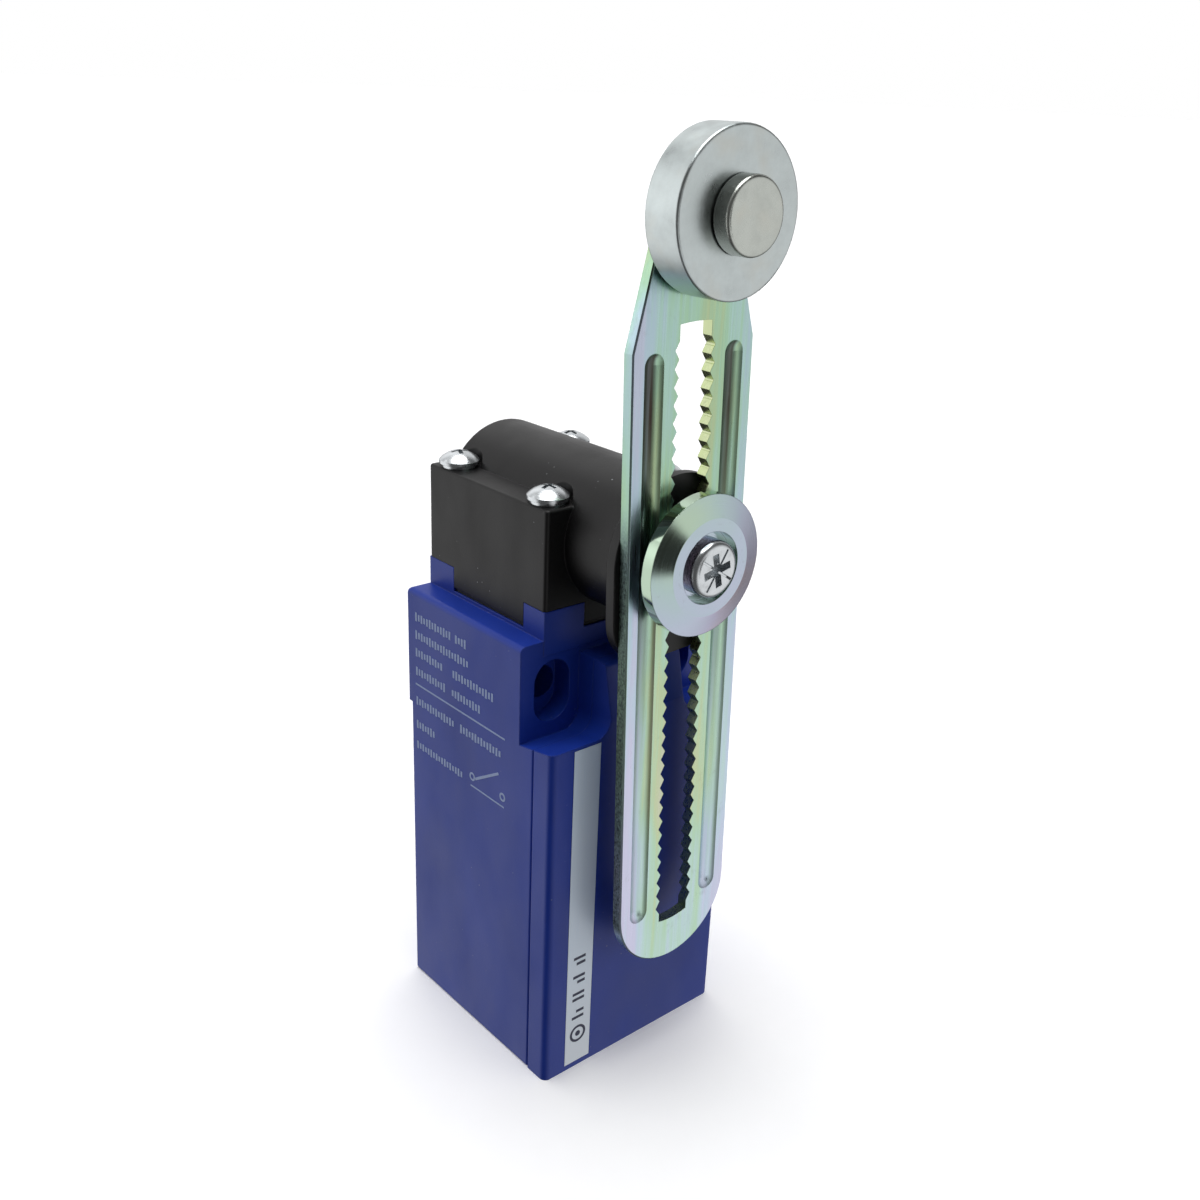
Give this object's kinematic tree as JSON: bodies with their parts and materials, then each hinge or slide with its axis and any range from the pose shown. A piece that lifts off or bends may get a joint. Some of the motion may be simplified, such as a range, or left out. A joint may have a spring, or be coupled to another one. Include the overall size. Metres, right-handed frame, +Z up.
{
  "type": "limit switch",
  "caption": "Compact limit switch with a rotary head and a slotted, length-adjustable roller lever on a two-hole plastic housing.",
  "frame": {"origin": "midway between the two fixing holes, on the rear mounting face", "axes": "+Z up towards the lever head, -Y out of the cover side where the lever is, +X to the right seen from behind"},
  "size_m": [0.031, 0.0454, 0.1223],
  "materials": {
    "housing_plastic": "moulded, fine satin grain",
    "head_plastic": "moulded, matte",
    "hub_black": "black oxide, satin",
    "label_foil": "printed satin foil",
    "passivated_zinc": "zinc plated, iridescent yellow-green passivation",
    "roller_steel": "turned, satin",
    "screw_steel": "bright zinc plated",
    "shaft_steel": "ground",
    "spring_steel": "drawn wire",
    "brass": "stamped strip",
    "bush_brass": "sintered bronze",
    "contact_silver": "silver contact face",
    "block_plastic": "moulded thermoset",
    "shutter_plastic": "moulded",
    "carrier_plastic": "moulded",
    "pusher_plastic": "acetal",
    "guide_plastic": "moulded",
    "cam_plastic": "acetal",
    "rubber": "nitrile"
  },
  "bodies": {
    "body": {"body_housing": "housing_plastic", "front_cover": "housing_plastic", "cover_gasket": "rubber", "label_strip": "label_foil", "contact_block_base": "block_plastic", "contact_block_cover": "shutter_plastic", "contact_block_screws": "screw_steel", "fixed_contacts_nc": "brass", "fixed_contacts_no": "brass", "contact_rivets": "contact_silver", "terminal_screws": "screw_steel", "terminal_clamps": "screw_steel", "carrier_spring": "spring_steel", "pusher_spring_right": "spring_steel", "pusher_spring_left": "spring_steel", "head_housing": "head_plastic", "head_gasket": "rubber", "head_screws": "screw_steel", "guide_plate": "guide_plastic", "front_bushing": "bush_brass", "rear_bushing": "bush_brass", "shaft_seal": "rubber"},
    "lever_shaft": {"operating_shaft": "shaft_steel", "cam_sleeve": "cam_plastic", "shaft_circlip": "spring_steel", "lever_hub": "hub_black", "clamp_washer": "passivated_zinc", "clamp_screw": "screw_steel"},
    "lever_arm": {"slotted_arm": "passivated_zinc", "roller_pin": "roller_steel", "roller_spacer": "passivated_zinc"},
    "lever_roller": {"roller": "roller_steel", "roller_bush": "bush_brass"},
    "pusher_right": {"pusher_right": "pusher_plastic"},
    "pusher_left": {"pusher_left": "pusher_plastic"},
    "carrier": {"contact_carrier": "carrier_plastic", "contact_bridge_nc": "brass", "contact_bridge_no": "brass", "bridge_springs": "spring_steel"}
  },
  "joints": [
    {"name": "lever_swing", "type": "hinge", "parent": "body", "child": "lever_shaft", "pos_m": [0, -0.0345, 0.0189], "axis": [0, 1, 0], "range_deg": [-70, 70], "stiffness_Nm_per_rad": 0.15},
    {"name": "arm_length", "type": "slide", "parent": "lever_shaft", "child": "lever_arm", "axis": [-0.0312, 0, 0.9995], "range_m": [-0.0185, 0.043]},
    {"name": "roller_spin", "type": "hinge", "parent": "lever_arm", "child": "lever_roller", "pos_m": [-0.00125, -0.04045, 0.05874], "axis": [0, 1, 0], "continuous": true},
    {"name": "pusher_right_travel", "type": "slide", "parent": "body", "child": "pusher_right", "axis": [0, 0, 1], "range_m": [-0.00175, 0.00175], "deforming": ["pusher_spring_right"]},
    {"name": "pusher_left_travel", "type": "slide", "parent": "body", "child": "pusher_left", "axis": [0, 0, 1], "range_m": [-0.00175, 0.00175], "deforming": ["pusher_spring_left"]},
    {"name": "contact_travel", "type": "slide", "parent": "body", "child": "carrier", "axis": [0, 0, 1], "range_m": [-0.0018, 0], "stiffness_N_per_m": 800, "springref_m": 0.003, "deforming": ["carrier_spring"]}
  ],
  "couplings": [
    {"joint": "pusher_right_travel", "follows": "lever_swing", "m_per_rad": -0.0014},
    {"joint": "pusher_left_travel", "follows": "lever_swing", "m_per_rad": 0.0014}
  ]
}
